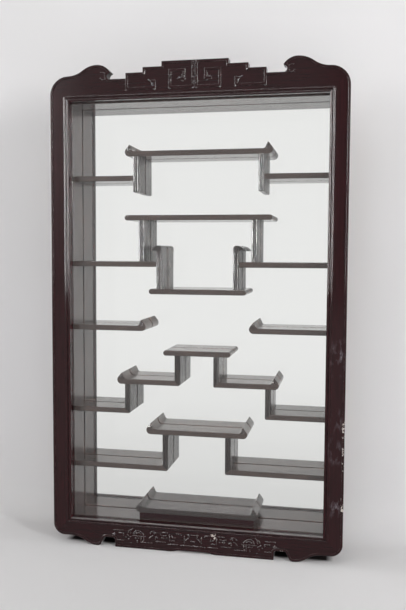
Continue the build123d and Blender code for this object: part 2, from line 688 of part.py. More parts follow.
def upright(middle, low, high, foot_round=0.0):
    """Upright with rounded front edges and a groove down the middle of its front."""
    half = UPRIGHT_THICK / 2
    piece = slab(middle - half, middle + half, SHELF_FRONT, MIRROR_FRONT, FLOOR + low, FLOOR + high)
    long_edges = piece.edges().filter_by(Axis.Z).group_by(Axis.Y)[0]
    piece = fillet(long_edges, UPRIGHT_ROUND)
    if foot_round:
        piece = fillet(piece.faces().sort_by(Axis.Z)[0].outer_wire().edges(), foot_round)
    return piece - rod(UPRIGHT_GROOVE, middle, SHELF_FRONT, FLOOR + low, FLOOR + high)


def stub_up(middle, foot, length, end_gap=0.0):
    """Stub tenon that stands on foot, or hangs from it when length is negative."""
    reach = length + end_gap if length > 0 else length - end_gap
    z = sorted([FLOOR + foot, FLOOR + foot + reach])
    return slab(middle - STUB_THICK / 2, middle + STUB_THICK / 2, SHELF_FRONT + STUB_SIDE_STOP,
                MIRROR_FRONT - STUB_SIDE_STOP, z[0], z[1])


def stub_in(face, top, end_gap=0.0):
    """Stub tenon of a right shelf into the upright on its left."""
    middle = FLOOR + top - BOARD_THICK / 2
    return slab(face - STUB_LENGTH - end_gap, face, SHELF_FRONT + STUB_SIDE_STOP,
                MIRROR_FRONT - STUB_SIDE_STOP, middle - STUB_THICK / 2, middle + STUB_THICK / 2)


def both(piece):
    """A cutter and its mirror image."""
    return [piece, other_side(piece)]


def mitre_parts(leg_middle, top):
    """Cutters for the corner where a right leg turns out into a shelf.

    The first belongs to the shelf, the second to the leg; the third rounds the outer corner.
    """
    x0, x1 = leg_middle - UPRIGHT_THICK / 2, leg_middle + UPRIGHT_THICK / 2
    z0, z1 = FLOOR + top - BOARD_THICK, FLOOR + top
    shelf_half = thicken(make_face(Polyline((x0, z0), (x1, z0), (x1, z1), close=True)),
                         SHELF_FRONT, MIRROR_FRONT)
    leg_half = thicken(make_face(Polyline((x0, z0), (x1, z1), (x0, z1), close=True)),
                       SHELF_FRONT, MIRROR_FRONT)
    radius = CORNER_ROUND
    waste = plate(x0, x0 + radius, z0, z0 + radius) - Pos(x0 + radius, z0 + radius) * Circle(radius)
    return shelf_half, leg_half, thicken(waste, SHELF_FRONT, MIRROR_FRONT)


def mitred_leg(middle, shelf_top, high):
    """Leg whose foot turns out into the shelf at shelf_top, with a stub tenon at its head."""
    shelf_half, leg_half, waste = mitre_parts(middle, shelf_top)
    leg = upright(middle, shelf_top - BOARD_THICK, high)
    return (leg - shelf_half - waste) + stub_up(middle, high, STUB_LENGTH)


def mitred_shelf(leg_middle, top, outer_end, ends=()):
    """Shelf that grows out of the foot of the leg at leg_middle."""
    shelf_half, leg_half, waste = mitre_parts(leg_middle, top)
    start = leg_middle - UPRIGHT_THICK / 2
    return board(start, outer_end, top, ends) - leg_half - waste


def housed_shelf(inner_face, top):
    """Right shelf from an upright, with its stub tenon, into the side of the case."""
    return board(inner_face, HALF_SIGHT + HOUSING, top) + stub_in(inner_face, top)


def write_upper_bench():
    """Bench top on two legs that hang past the shelves they carry."""
    under = UPPER_BENCH_TOP - BOARD_THICK
    leg_face = UPPER_LEG_OUT + UPRIGHT_THICK / 2
    top = scrolled_board(UPPER_BENCH_HALF, UPPER_BENCH_TOP)
    top -= both(stub_up(UPPER_LEG_OUT, under, STUB_LENGTH, TENON_END_GAP))
    write("upper_bench_top", top)
    leg = upright(UPPER_LEG_OUT, UPPER_LEG_FOOT, under, LEG_FOOT_ROUND)
    leg = leg + stub_up(UPPER_LEG_OUT, under, STUB_LENGTH)
    write_pair("upper_bench_SIDE_leg", leg - stub_in(leg_face, UPPER_SHELF_TOP, TENON_END_GAP))
    write_pair("upper_SIDE_shelf", housed_shelf(leg_face, UPPER_SHELF_TOP))


def hanger_upright():
    """Right upright that carries the tray, with a head curled outward."""
    inner, outer = HANGER_OUT - UPRIGHT_THICK / 2, HANGER_OUT + UPRIGHT_THICK / 2
    top, lip = FLOOR + HANGER_TOP, outer + HANGER_LIP_OUT
    shoulder = (inner + HANGER_HEAD_RADIUS, top)
    tip = (lip, top - HANGER_LIP_DROP)
    root = (outer, top - HANGER_HEAD_THICK - HANGER_LIP_UNDER)
    under = (outer + HANGER_LIP_OUT / 2, top - HANGER_HEAD_THICK - HANGER_LIP_UNDER / 2)
    start = top - 2 * HANGER_HEAD_RADIUS
    curl = [Line((outer, start), (inner, start)), Line((inner, start), (inner, top - HANGER_HEAD_RADIUS)),
            TangentArc((inner, top - HANGER_HEAD_RADIUS), shoulder, tangent=(0, 1)),
            TangentArc(shoulder, tip, tangent=(1, 0)), ThreePointArc(tip, under, root),
            Line(root, (outer, start))]
    head = thicken(make_face(Curve() + curl), SHELF_FRONT, MIRROR_FRONT)
    head = fillet(front_edges(head).filter_by(GeomType.CIRCLE), BOARD_ROUND)
    return head + upright(HANGER_OUT, TRAY_TOP, start - FLOOR)


def write_table():
    """Table on the two middle shelves, and the tray that hangs between them."""
    under = TABLE_TOP - BOARD_THICK
    hanger_face = HANGER_OUT + UPRIGHT_THICK / 2
    top = nosed_board(TABLE_HALF, TABLE_TOP)
    write("table_top", top - both(stub_up(TABLE_LEG_OUT, under, STUB_LENGTH, TENON_END_GAP)))
    leg = upright(TABLE_LEG_OUT, TABLE_SHELF_TOP, under) + stub_up(TABLE_LEG_OUT, under, STUB_LENGTH)
    write_pair("table_SIDE_leg", leg + stub_up(TABLE_LEG_OUT, TABLE_SHELF_TOP, -STUB_LENGTH))
    shelf = housed_shelf(hanger_face, TABLE_SHELF_TOP)
    shelf -= stub_up(TABLE_LEG_OUT, TABLE_SHELF_TOP, -STUB_LENGTH, TENON_END_GAP)
    write_pair("middle_SIDE_shelf", shelf)
    hanger = hanger_upright() + stub_up(HANGER_OUT, TRAY_TOP, -STUB_LENGTH)
    write_pair("tray_SIDE_upright", hanger - stub_in(hanger_face, TABLE_SHELF_TOP, TENON_END_GAP))
    tray = nosed_board(TRAY_HALF, TRAY_TOP)
    write("tray", tray - both(stub_up(HANGER_OUT, TRAY_TOP, -STUB_LENGTH, TENON_END_GAP)))


def write_wings():
    """Shelves with a turned-up free end."""
    free_end = WING_IN + SCROLL_THROAT
    wing = board(free_end, HALF_SIGHT + HOUSING, WING_TOP, [scroll(WING_IN, WING_TOP, -1)])
    write_pair("wing_SIDE_shelf", wing)


def write_pyramid():
    """Three steps: a short top board, two scrolled boards and two shelves."""
    under = PYRAMID_TOP - BOARD_THICK
    top = nosed_board(PYRAMID_HALF, PYRAMID_TOP)
    top -= both(stub_up(PYRAMID_UPPER_LEG_OUT, under, STUB_LENGTH, TENON_END_GAP))
    write("pyramid_top", top)
    write_pair("pyramid_upper_SIDE_leg", mitred_leg(PYRAMID_UPPER_LEG_OUT, PYRAMID_MIDDLE_TOP, under))
    end = PYRAMID_MIDDLE_END
    middle = mitred_shelf(PYRAMID_UPPER_LEG_OUT, PYRAMID_MIDDLE_TOP, end - SCROLL_THROAT,
                          [scroll(end, PYRAMID_MIDDLE_TOP, 1)])
    under = PYRAMID_MIDDLE_TOP - BOARD_THICK
    middle -= stub_up(PYRAMID_LOWER_LEG_OUT, under, STUB_LENGTH, TENON_END_GAP)
    write_pair("pyramid_middle_SIDE_board", middle)
    write_pair("pyramid_lower_SIDE_leg", mitred_leg(PYRAMID_LOWER_LEG_OUT, PYRAMID_LOW_TOP, under))
    low = mitred_shelf(PYRAMID_LOWER_LEG_OUT, PYRAMID_LOW_TOP, HALF_SIGHT + HOUSING)
    write_pair("pyramid_low_SIDE_shelf", low)


def write_lower_bench():
    """Bench top on two legs that turn out into the lowest shelves."""
    under = LOWER_BENCH_TOP - BOARD_THICK
    top = scrolled_board(LOWER_BENCH_HALF, LOWER_BENCH_TOP)
    top -= both(stub_up(LOWER_LEG_OUT, under, STUB_LENGTH, TENON_END_GAP))
    write("lower_bench_top", top)
    write_pair("lower_bench_SIDE_leg", mitred_leg(LOWER_LEG_OUT, LOWER_SHELF_TOP, under))
    write_pair("lower_SIDE_shelf", mitred_shelf(LOWER_LEG_OUT, LOWER_SHELF_TOP, HALF_SIGHT + HOUSING))


def write_stand():
    """Low stand on the floor of the case."""
    under = STAND_TOP - BOARD_THICK
    write("stand_top", scrolled_board(STAND_HALF, STAND_TOP))
    end = slab(STAND_BASE_HALF - STAND_END_THICK, STAND_BASE_HALF, SHELF_FRONT, MIRROR_FRONT,
               FLOOR, FLOOR + under)
    write_pair("stand_SIDE_end", end)
    inner = STAND_BASE_HALF - STAND_END_THICK
    front = SHELF_FRONT + STAND_BASE_SETBACK
    write("stand_front_board", slab(-inner, inner, front, front + STAND_FRONT_THICK, FLOOR, FLOOR + under))


# ---- every piece -------------------------------------------------------------------------------
def write_door():
    """Frame, glass, glazing beads and the door's half of the hinges and of the catch."""
    frame = door_frame()
    stile = door_stile(frame)
    leaf_screws = [screw for z in HINGE_HEIGHTS.values() for screw in screws_at(door_leaf_screws(z), 180)]
    write("door_left_stile", other_side(stile) - leaf_screws)
    write("door_right_stile", stile - catch_strike())
    write("door_top_rail", door_rail(frame, True))
    write("door_bottom_rail", door_rail(frame, False))
    write("door_glass", door_glass())
    write_pair("glazing_bead_SIDE", glazing_bead(True))
    upper_bead = glazing_bead(False)
    write("glazing_bead_top", upper_bead)
    write("glazing_bead_bottom", mirror(upper_bead, about=Plane.XY.offset(FLOOR + SIGHT_HEIGHT / 2)))
    for name, z in HINGE_HEIGHTS.items():
        write("hinge_" + name + "_door_leaf", hinge_leaf(z, True))
    write("hinge_door_screws", Compound(leaf_screws))
    write("catch_strike", catch_strike())


def write_case():
    """Sides, top, floor, mirror, back panel and all the metal that stays with the case."""
    side = case_side()
    leaf_screws = [screw for z in HINGE_HEIGHTS.values() for screw in screws_at(case_leaf_screws(z), -90)]
    plates = [hanger_plate(-1), hanger_plate(1)]
    pockets = [thicken(hanger_outline(i), BACK - HANGER_PLATE_THICK, BACK) for i in (-1, 1)]
    top_screws = screws_at(hanger_screws(), 180)
    rear_screws = screws_at(back_screws(), 180)
    write("case_left_side", other_side(side) - leaf_screws)
    write("case_right_side", side - catch_magnet())
    write("case_top", case_board(CEILING, CASE_TOP_THICK) - pockets - top_screws)
    write("case_floor", case_board(FLOOR - CASE_THICK, CASE_THICK))
    write("mirror", in_recess(MIRROR_REBATE, MIRROR_FRONT, MIRROR_BACK))
    write("back_panel", in_recess(BACK_REBATE, MIRROR_BACK, BACK) - rear_screws)
    write("back_screws", Compound(rear_screws))
    write("hanger_plates", Compound([plate - top_screws for plate in plates]))
    write("hanger_screws", Compound(top_screws))
    for name, z in HINGE_HEIGHTS.items():
        write("hinge_" + name + "_case_leaf", hinge_leaf(z, False))
    write("hinge_pins", Compound([hinge_pin(z) for z in HINGE_HEIGHTS.values()]))
    write("hinge_case_screws", Compound(leaf_screws))
    write("catch_magnet", catch_magnet())


write_door()
write_case()
write_upper_bench()
write_table()
write_wings()
write_pyramid()
write_lower_bench()
write_stand()
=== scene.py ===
"""Looks of the wall display cabinet: worn lacquer, glass, mirror, brass, fine carving, plain studio."""
import math

import bmesh
import bpy
from mathutils import Matrix, Vector


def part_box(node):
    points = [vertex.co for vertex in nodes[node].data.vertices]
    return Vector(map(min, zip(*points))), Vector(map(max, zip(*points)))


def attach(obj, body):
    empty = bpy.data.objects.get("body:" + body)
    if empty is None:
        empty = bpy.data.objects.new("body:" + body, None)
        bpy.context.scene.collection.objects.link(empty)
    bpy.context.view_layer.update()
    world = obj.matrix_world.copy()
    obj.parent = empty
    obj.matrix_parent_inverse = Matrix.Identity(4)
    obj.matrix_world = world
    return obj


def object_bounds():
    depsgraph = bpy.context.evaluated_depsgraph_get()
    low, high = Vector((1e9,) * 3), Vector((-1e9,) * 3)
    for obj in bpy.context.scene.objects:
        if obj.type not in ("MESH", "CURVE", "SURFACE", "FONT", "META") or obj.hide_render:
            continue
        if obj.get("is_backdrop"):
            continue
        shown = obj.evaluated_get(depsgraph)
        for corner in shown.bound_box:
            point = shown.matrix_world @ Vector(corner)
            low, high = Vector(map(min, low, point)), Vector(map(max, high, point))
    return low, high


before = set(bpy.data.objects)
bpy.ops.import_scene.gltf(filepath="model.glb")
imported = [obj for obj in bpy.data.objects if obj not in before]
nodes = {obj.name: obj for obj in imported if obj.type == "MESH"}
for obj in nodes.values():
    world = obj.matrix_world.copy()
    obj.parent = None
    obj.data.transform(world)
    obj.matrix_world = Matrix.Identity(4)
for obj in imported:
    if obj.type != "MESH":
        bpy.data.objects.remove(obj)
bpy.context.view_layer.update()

MM = 0.001
DOOR_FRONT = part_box("door_top_rail")[0][1]
DOOR_GROUND = DOOR_FRONT + 2 * MM                  # flat of the frame behind the raised border
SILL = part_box("door_glass")[0][2] + 7 * MM         # bottom of the opening
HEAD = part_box("door_glass")[1][2] - 7 * MM         # top of the opening
HALF_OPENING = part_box("door_glass")[1][0] - 7 * MM
SHELF_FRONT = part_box("table_top")[0][1]
BOARD = 11 * MM                                    # thickness of a shelf board
PAPER_WHITE = 0.90                                 # brightness of the painted glow that mirror and glass see for paper and room


# ---- nodes ---------------------------------------------------------------------------------------
def colour(code):
    """sRGB hex to linear RGBA."""
    parts = [int(code[i:i + 2], 16) / 255 for i in (1, 3, 5)]
    return tuple(p / 12.92 if p <= 0.04045 else ((p + 0.055) / 1.055) ** 2.4 for p in parts) + (1.0,)


def add(tree, kind, *inputs, **named):
    """One node. Inputs go in order, or by Name with _ for a space; lower-case names are settings.

    An input is a value, another node's socket, or another node, whose first output is then used."""
    node = tree.nodes.new(kind if "Node" in kind else "ShaderNode" + kind)
    for key, value in named.items():
        if key[0].islower():
            setattr(node, key, value)
    sockets = [socket for socket in node.inputs if socket.enabled]
    pairs = list(zip(sockets, inputs))
    for key, value in named.items():
        if key[0].isupper():
            pairs.append((next(s for s in sockets if s.name == key.replace("_", " ")), value))
    for socket, value in pairs:
        if isinstance(value, bpy.types.Node):
            value = next(out for out in value.outputs if out.enabled)
        if isinstance(value, bpy.types.NodeSocket):
            tree.links.new(value, socket)
        else:
            socket.default_value = value
    return node


def within(tree, *ramps):
    """Product of ramps (value, where it gives 0, where it gives 1), each held at its ends."""
    mask = 1.0
    for value, none, full in ramps:
        mask = add(tree, "Math", mask, add(tree, "MapRange", value, none, full), operation="MULTIPLY")
    return mask


def material(name):
    """Empty material and its tree of nodes."""
    made = bpy.data.materials.new(name)
    made.use_nodes = True
    made.node_tree.nodes.clear()
    return made, made.node_tree


# ---- lacquer ---------------------------------------------------------------------------------------
CRISP = 0.55                                       # how strongly the finer layers of a noise show
BARE_WOOD = "#cfc4bd"                              # pale filler and wood where the lacquer has chipped off
SILL_HIGHLIGHT_GREY = "#6f6b6a"                            # grey of a painted highlight along the sill's edge
SCUFFED = "#9c949c"                                # haze on the gloss, paler and colder than the lacquer
GRAIN = {"X": (0.06, 1, 1), "Z": (1, 1, 0.06)}     # grain is drawn out along the length of a board
LONG, EVEN = GRAIN["Z"], (1, 1, 1)                 # stretch of the brush waves


def arrises(tree, radius):
    """1 on sharp outer and inner edges, 0 on flat ground."""
    true = add(tree, "NewGeometry").outputs["True Normal"]
    turn = add(tree, "VectorMath", add(tree, "Bevel", radius, samples=6), true, operation="DOT_PRODUCT")
    return add(tree, "MapRange", turn, 0.995, 0.8)


def inside(tree, area, fade):
    """1 inside an area (x low, x high, z low, z high) of the door's front, fading at its rim."""
    x, y, z = add(tree, "SeparateXYZ", add(tree, "TexCoord").outputs["Object"]).outputs
    left, right, low, high = area
    return within(tree, (x, left, left + fade), (x, right, right - fade),
                  (y, DOOR_FRONT + 8 * MM, DOOR_FRONT + 4 * MM),
                  (z, low, low + 2 * fade), (z, high, high - 2 * fade))


def off_mitre(tree):
    """0 on the glued mitres of the door frame, where the lacquer runs on without an edge, 1 elsewhere."""
    x, _, z = add(tree, "SeparateXYZ", add(tree, "TexCoord").outputs["Object"]).outputs
    out = add(tree, "Math", x, operation="ABSOLUTE")
    beside = add(tree, "Math", out, HALF_OPENING, operation="SUBTRACT")
    over = add(tree, "Math", z, HEAD, operation="SUBTRACT")
    under = add(tree, "Math", SILL, z, operation="SUBTRACT")
    beyond = add(tree, "Math", over, under, operation="MAXIMUM")
    apart = add(tree, "Math", beside, beyond, operation="SUBTRACT")
    return add(tree, "MapRange", add(tree, "Math", apart, operation="ABSOLUTE"), 1.6 * MM, 2.6 * MM)


def chips(tree, here, arris, specks, areas):
    """1 where the lacquer has chipped off: specks of 3 mm on the arrises, flakes of 5 mm in the areas."""
    found = add(tree, "MapRange", add(tree, "TexNoise", here, 1 / (3.03 * MM), 2, CRISP), 0.70, 0.74)
    on_arris = add(tree, "Math", arris, specks, operation="MULTIPLY")
    found = add(tree, "Math", found, on_arris, operation="MULTIPLY", use_clamp=True)
    for area in areas:
        flakes = add(tree, "MapRange", add(tree, "TexNoise", here, 1 / (4.76 * MM), 3, CRISP), 0.54, 0.59)
        flakes = add(tree, "Math", flakes, inside(tree, area, 2 * MM), operation="MULTIPLY")
        found = add(tree, "Math", found, flakes, operation="MAXIMUM")
    return found


def scuffs(tree, here, areas):
    """Up to 1 where rubbing has hazed the gloss: fine upright scratches in broad smudges."""
    upright = add(tree, "Mapping", here, Scale=(1, 1, 0.3))
    fine = add(tree, "MapRange", add(tree, "TexNoise", upright, 1 / (2.38 * MM), 4, 0.6), 0.50, 0.72)
    upright = add(tree, "Mapping", here, Scale=(1, 1, 0.5))
    broad = add(tree, "MapRange", add(tree, "TexNoise", upright, 1 / (11.1 * MM), 4, CRISP), 0.48, 0.70)
    haze = add(tree, "Math", fine, 0.75, 0.25, operation="MULTIPLY_ADD")
    smudge = add(tree, "Math", haze, broad, operation="MULTIPLY")
    amount = 0.0
    for area in areas:
        amount = add(tree, "Math", amount, inside(tree, area, 13 * MM), operation="MAXIMUM")
    return add(tree, "Math", smudge, amount, operation="MULTIPLY")


def lacquer(name, along, dark, light, edge_wear_and_highlight_colour, edge_wear_and_highlight_weight, soft, roughness, shine, specks, mitred=False,
            ripple=None, painted_highlight_at=(), chipped=(), scuffed=()):
    """Lacquered hardwood: faint long grain under a gloss coat, edges paled by wear and by a painted
    highlight, chipped here and there.

    The grain runs along an axis. The gloss goes round an arris at the radius soft; there the colour is
    paled, partly as wear and partly as a painted highlight, and flecked. A ripple is the width, depth and
    stretch of the brush waves in the coat, whose hollows are painted darker as shade."""
    made, tree = material(name)
    here = add(tree, "TexCoord").outputs["Object"]
    lengthwise = add(tree, "Mapping", here, Scale=GRAIN[along])
    cloud = add(tree, "TexNoise", here, 1 / (111 * MM), 3, CRISP)
    grain = add(tree, "MapRange", add(tree, "TexNoise", lengthwise, 1 / (3.85 * MM), 5, CRISP), 0.35, 0.7)
    tone = add(tree, "Math", grain, add(tree, "MapRange", cloud, 0.3, 0.7, 0.45, 1.0), operation="MULTIPLY")
    body = add(tree, "Mix", tone, colour(dark), colour(light), data_type="RGBA")

    arris = arrises(tree, 0.8 * MM)
    normal = add(tree, "Bevel", soft, samples=6)
    if mitred:
        plain = off_mitre(tree)
        arris = add(tree, "Math", arris, plain, operation="MULTIPLY")
        flat = add(tree, "NewGeometry").outputs["Normal"]
        normal = add(tree, "Mix", plain, flat, normal, data_type="VECTOR")
    # painted highlight, partly wear: the arrises are paled in patches towards the pale edge colour
    patches = add(tree, "MapRange", add(tree, "TexNoise", here, 1 / (14.3 * MM), 4, CRISP), 0.38, 0.62)
    edge = add(tree, "Math", arris, patches, operation="MULTIPLY")
    edge = add(tree, "Math", edge, edge_wear_and_highlight_weight, operation="MULTIPLY")
    body = add(tree, "Mix", edge, body, colour(edge_wear_and_highlight_colour), data_type="RGBA")
    # painted highlight: a grey line over the given areas
    for area in painted_highlight_at:
        amount = add(tree, "Math", inside(tree, area, 1 * MM), 0.8, operation="MULTIPLY")
        body = add(tree, "Mix", amount, body, colour(SILL_HIGHLIGHT_GREY), data_type="RGBA")

    chipped_off = chips(tree, here, arris, specks, chipped)
    body = add(tree, "Mix", chipped_off, body, colour(BARE_WOOD), data_type="RGBA")
    dull = add(tree, "MapRange", cloud, 0.3, 0.75, 0.0, 0.08)
    dull = add(tree, "Math", chipped_off, 0.4, dull, operation="MULTIPLY_ADD")
    if ripple:
        width, depth, stretch = ripple
        brushed = add(tree, "TexNoise", add(tree, "Mapping", here, Scale=stretch), 1 / width, 3, CRISP)
        waves = add(tree, "MapRange", brushed, 0.42, 0.58)
        # painted shade: the hollows of the brush waves are darkened towards the dark colour
        shaded_hollows = add(tree, "Math", waves, 0.5, operation="MULTIPLY")
        body = add(tree, "Mix", shaded_hollows, body, colour(dark), data_type="RGBA")
        dull = add(tree, "Math", waves, 0.2, dull, operation="MULTIPLY_ADD")
        normal = add(tree, "Bump", Strength=depth, Distance=0.3 * MM, Height=waves, Normal=normal)
    if scuffed:
        hazed = scuffs(tree, here, scuffed)
        amount = add(tree, "Math", hazed, 0.8, operation="MULTIPLY")
        body = add(tree, "Mix", amount, body, colour(SCUFFED), data_type="RGBA")
        dull = add(tree, "Math", hazed, 0.35, dull, operation="MULTIPLY_ADD")
    pores = add(tree, "TexNoise", lengthwise, 1 / (0.667 * MM), 2, CRISP)
    normal = add(tree, "Bump", Strength=0.16, Distance=0.2 * MM, Height=pores, Normal=normal)
    dull = add(tree, "Math", dull, roughness, operation="ADD")
    add(tree, "OutputMaterial", add(tree, "BsdfPrincipled", Base_Color=body, Roughness=dull, Normal=normal,
                                    IOR=1.5, Specular_IOR_Level=shine))
    return made


# Wear on the door's front, and the painted highlight along the sill, as areas (x low, x high, z low, z
# high).
SCUFFS = ((0.270, 0.308, SILL + 0.318, SILL + 0.398), (0.274, 0.306, SILL + 0.206, SILL + 0.262),
          (0.268, 0.304, SILL + 0.142, SILL + 0.204), (0.270, 0.306, SILL + 0.036, SILL + 0.090))
STILE_CHIPS = ((0.297, 0.305, SILL + 0.200, SILL + 0.236), (0.298, 0.305, SILL + 0.135, SILL + 0.185),
               (0.297, 0.305, SILL + 0.045, SILL + 0.083))
APRON_CHIPS = ((0.036, 0.050, SILL - 0.024, SILL - 0.008), (0.178, 0.186, SILL - 0.045, SILL - 0.032))
# painted highlight along the sill's edge
SILL_EDGE = (-HALF_OPENING - 1 * MM, HALF_OPENING + 1 * MM, SILL - 2.0 * MM, SILL + 3 * MM)

# Polished red-brown lacquer: nearly black, wine red where light falls, its right stile scuffed by hands.
FRAME_UP = lacquer("frame lacquer upright", "Z", dark="#210709", light="#300d12", edge_wear_and_highlight_colour="#86706e",
                   edge_wear_and_highlight_weight=0.55, soft=1.1 * MM, roughness=0.07, shine=0.24, specks=1.0, mitred=True,
                   chipped=STILE_CHIPS, scuffed=SCUFFS)
# The same on the rails, with a painted grey highlight along the lower inner edge, at the sill.
FRAME_ACROSS = lacquer("frame lacquer across", "X", dark="#1f0709", light="#2a0b0f", edge_wear_and_highlight_colour="#9c8886",
                       edge_wear_and_highlight_weight=0.45, soft=1.1 * MM, roughness=0.07, shine=0.24, specks=0.6, mitred=True,
                       chipped=APRON_CHIPS, painted_highlight_at=(SILL_EDGE,))
# The same brushed thick over carving: its waves break the gloss into small glints, their hollows painted
# dark as shade.
FRAME_CARVED = lacquer("frame lacquer carved", "X", dark="#1f0709", light="#2a0b0f", edge_wear_and_highlight_colour="#9c8886",
                       edge_wear_and_highlight_weight=0.7, soft=0.4 * MM, roughness=0.07, shine=0.45, specks=1.0,
                       chipped=APRON_CHIPS, ripple=(3.03 * MM, 0.7, EVEN))
# Wiped-on lacquer of the stand's boards: red-brown, with little gloss.
STAND = lacquer("stand lacquer", "X", dark="#230a0e", light="#301217", edge_wear_and_highlight_colour="#5a4744", edge_wear_and_highlight_weight=0.5,
                soft=0.6 * MM, roughness=0.1, shine=0.1, specks=0.5)
# Brown-black lacquer of the uprights: its long brush marks stand out between the grooves, their hollows
# painted dark as shade.
SHELF_UP = lacquer("shelf lacquer upright", "Z", dark="#1a1210", light="#2c201d", edge_wear_and_highlight_colour="#8a736b",
                   edge_wear_and_highlight_weight=0.6, soft=0.3 * MM, roughness=0.08, shine=0.6, specks=0.6,
                   ripple=(6.67 * MM, 0.3, LONG))
# Full gloss on the carved curls: bright edges against a black ground.
CURLS = lacquer("shelf lacquer curls", "X", dark="#120c0b", light="#1e1513", edge_wear_and_highlight_colour="#8a736b", edge_wear_and_highlight_weight=0.6,
                soft=0.3 * MM, roughness=0.06, shine=1.0, specks=0.6)
# Brown lacquer gone thin and dusty on the boards: paler than the uprights, and it mirrors them softly.
SHELF_ACROSS = lacquer("shelf lacquer across", "X", dark="#342722", light="#483832", edge_wear_and_highlight_colour="#8a736b",
                       edge_wear_and_highlight_weight=0.6, soft=0.3 * MM, roughness=0.1, shine=0.7, specks=0.6)
# The same on the stand's top, painted darker as shade, near the brown of the stand's boards.
SHADED_STAND_TOP = lacquer("stand top lacquer", "X", dark="#241917", light="#332623", edge_wear_and_highlight_colour="#8a736b",
                    edge_wear_and_highlight_weight=0.6, soft=0.3 * MM, roughness=0.1, shine=0.6, specks=0.6)
# Plain brown lacquer inside the case: even, half gloss.
CASE_UP = lacquer("case lacquer upright", "Z", dark="#2d2220", light="#3f302d", edge_wear_and_highlight_colour="#6a544d",
                  edge_wear_and_highlight_weight=0.5, soft=0.6 * MM, roughness=0.12, shine=0.66, specks=0.5)
CASE_ACROSS = lacquer("case lacquer across", "X", dark="#352825", light="#473632", edge_wear_and_highlight_colour="#6a544d",
                      edge_wear_and_highlight_weight=0.5, soft=0.6 * MM, roughness=0.12, shine=0.75, specks=0.5)


# ---- metal, glass, plywood -------------------------------------------------------------------------
def metal(name, base, tarnish, roughness):
    """Rolled metal: fine brushing, darker where it has tarnished."""
    made, tree = material(name)
    here = add(tree, "TexCoord").outputs["Object"]
    patch = add(tree, "MapRange", add(tree, "TexNoise", here, 1 / (8.33 * MM), 4, CRISP), 0.4, 0.75)
    lines = add(tree, "TexNoise", add(tree, "Mapping", here, Scale=(1, 1, 0.05)), 1 / (0.25 * MM), 1, CRISP)
    body = add(tree, "Mix", patch, colour(base), colour(tarnish), data_type="RGBA")
    add(tree, "OutputMaterial",
        add(tree, "BsdfPrincipled", Base_Color=body, Metallic=1.0,
            Roughness=add(tree, "Math", patch, 0.2, roughness, operation="MULTIPLY_ADD"),
            Normal=add(tree, "Bump", Strength=0.12, Distance=0.05 * MM, Height=lines)))
    return made


# Rolled brass is warm, half bright and browned in patches. Zinc-plated steel is an even grey. A screw's
# recess is painted dark, for its dirt and as painted shade, so that the cross reads.
BRASS = metal("brass", "#c8a45a", "#8d6f3a", 0.22)
STEEL = metal("plated steel", "#b7b7b9", "#8e8e90", 0.25)
RECESS_DIRT_AND_SHADE = metal("screw recess", "#3a3026", "#1e1914", 0.5)


def silvering():
    """Silver coat on the back of the mirror: reflects nearly all, with small spots where it has gone."""
    made, tree = material("silvering")
    here = add(tree, "TexCoord").outputs["Object"]
    spots = add(tree, "MapRange", add(tree, "TexNoise", here, 1 / (3.85 * MM), 3, CRISP), 0.76, 0.80)
    dust = add(tree, "TexNoise", here, 1 / (71.4 * MM), 4, CRISP)
    body = add(tree, "Mix", spots, colour("#f9f9f8"), colour("#6e675f"), data_type="RGBA")
    add(tree, "OutputMaterial", add(tree, "BsdfPrincipled", Base_Color=body, Metallic=1.0,
                                    Roughness=add(tree, "MapRange", dust, 0.3, 0.8, 0.0, 0.004)))
    return made


# What each face of a pane lets through: a trace of green, less than one step of hex.
GLASS_GREEN = (0.990, 0.991, 0.990, 1)


def clear_glass(name, gloss_index, smear):
    """Float glass: clear and straight through, with a faint reflection and finger smears in it."""
    made, tree = material(name)
    upright = add(tree, "Mapping", add(tree, "TexCoord").outputs["Object"], Scale=(1, 1, 0.5))
    greasy = add(tree, "TexNoise", upright, 1 / smear, 4, CRISP)
    smears = add(tree, "MapRange", greasy, 0.35, 0.8, 0.0, 0.02)
    gloss = add(tree, "BsdfGlossy", Color=colour("#ffffff"), Roughness=smears)
    clear = add(tree, "BsdfTransparent", Color=GLASS_GREEN)
    # light goes straight through, so only the face it enters by reflects, for both faces of the pane
    leaving = add(tree, "NewGeometry").outputs["Backfacing"]
    entering = add(tree, "Math", 1.0, leaving, operation="SUBTRACT")
    edge = add(tree, "Math", add(tree, "Fresnel", IOR=gloss_index), entering, operation="MULTIPLY")
    add(tree, "OutputMaterial", add(tree, "MixShader", edge, clear, gloss))
    return made


def plywood():
    """Bare plywood: pale long grain with darker streaks, matt and slightly open."""
    made, tree = material("plywood")
    here = add(tree, "TexCoord").outputs["Object"]
    wide = add(tree, "TexNoise", add(tree, "Mapping", here, Scale=(1, 1, 0.05)), 1 / (16.7 * MM), 6, CRISP)
    fine = add(tree, "TexNoise", add(tree, "Mapping", here, Scale=(1, 1, 0.03)), 1 / (1.11 * MM), 3, CRISP)
    tone = add(tree, "Math", add(tree, "MapRange", wide, 0.3, 0.7),
               add(tree, "MapRange", fine, 0.3, 0.7, 0.6, 1.0), operation="MULTIPLY")
    body = add(tree, "Mix", tone, colour("#a8865f"), colour("#7d5c3b"), data_type="RGBA")
    add(tree, "OutputMaterial",
        add(tree, "BsdfPrincipled", Base_Color=body, Roughness=0.72,
            Normal=add(tree, "Bump", Strength=0.3, Distance=0.2 * MM, Height=fine)))
    return made


def paint(node, made):
    """Gives a CAD node its material."""
    data = nodes[node].data
    data.materials.clear()
    data.materials.append(made)


